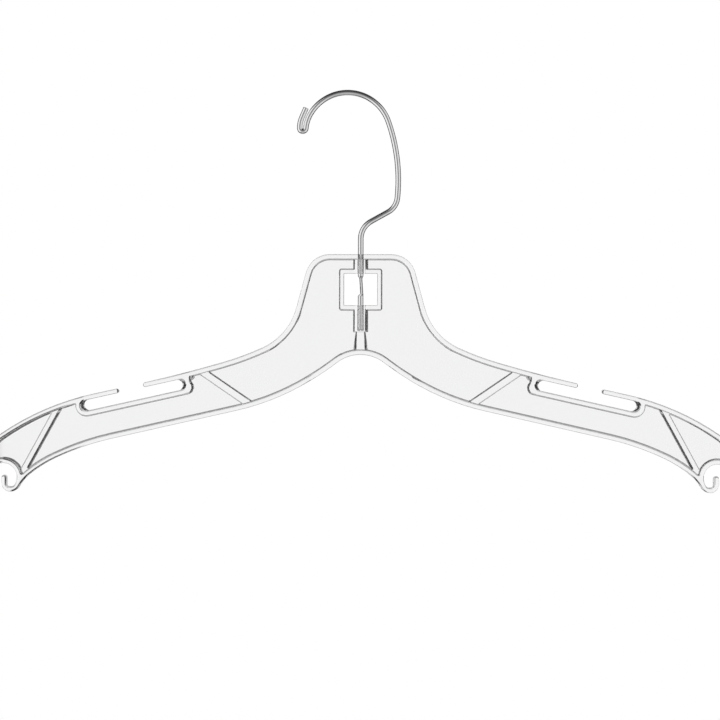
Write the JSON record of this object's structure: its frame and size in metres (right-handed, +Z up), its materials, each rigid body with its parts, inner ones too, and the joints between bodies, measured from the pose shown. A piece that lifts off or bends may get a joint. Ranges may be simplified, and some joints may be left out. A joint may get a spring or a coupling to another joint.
{
  "type": "clothes hanger",
  "caption": "Clear moulded clothes hanger with flanged arms, open strap slots, hooked end notches and a swivelling bent wire hook captured in the neck.",
  "frame": {"origin": "on the hook's swivel axis, at the flat top of the hanger's neck", "axes": "+Z up along the swivel axis towards the hook, +X along the arms, +Y through the thickness, towards the back"},
  "size_m": [0.4318, 0.007, 0.232],
  "materials": {
    "clear_plastic": "clear, glossy moulded polystyrene, faintly grey",
    "plated_wire": "bright plated steel wire with fine drawing lines"
  },
  "bodies": {
    "hanger": {"hanger_body": "clear_plastic"},
    "hook": {"swivel_hook": "plated_wire"}
  },
  "joints": [
    {"name": "hook_swivel", "type": "hinge", "parent": "hanger", "child": "hook", "pos_m": [0, 0, 0], "axis": [0, 0, 1], "continuous": true}
  ]
}
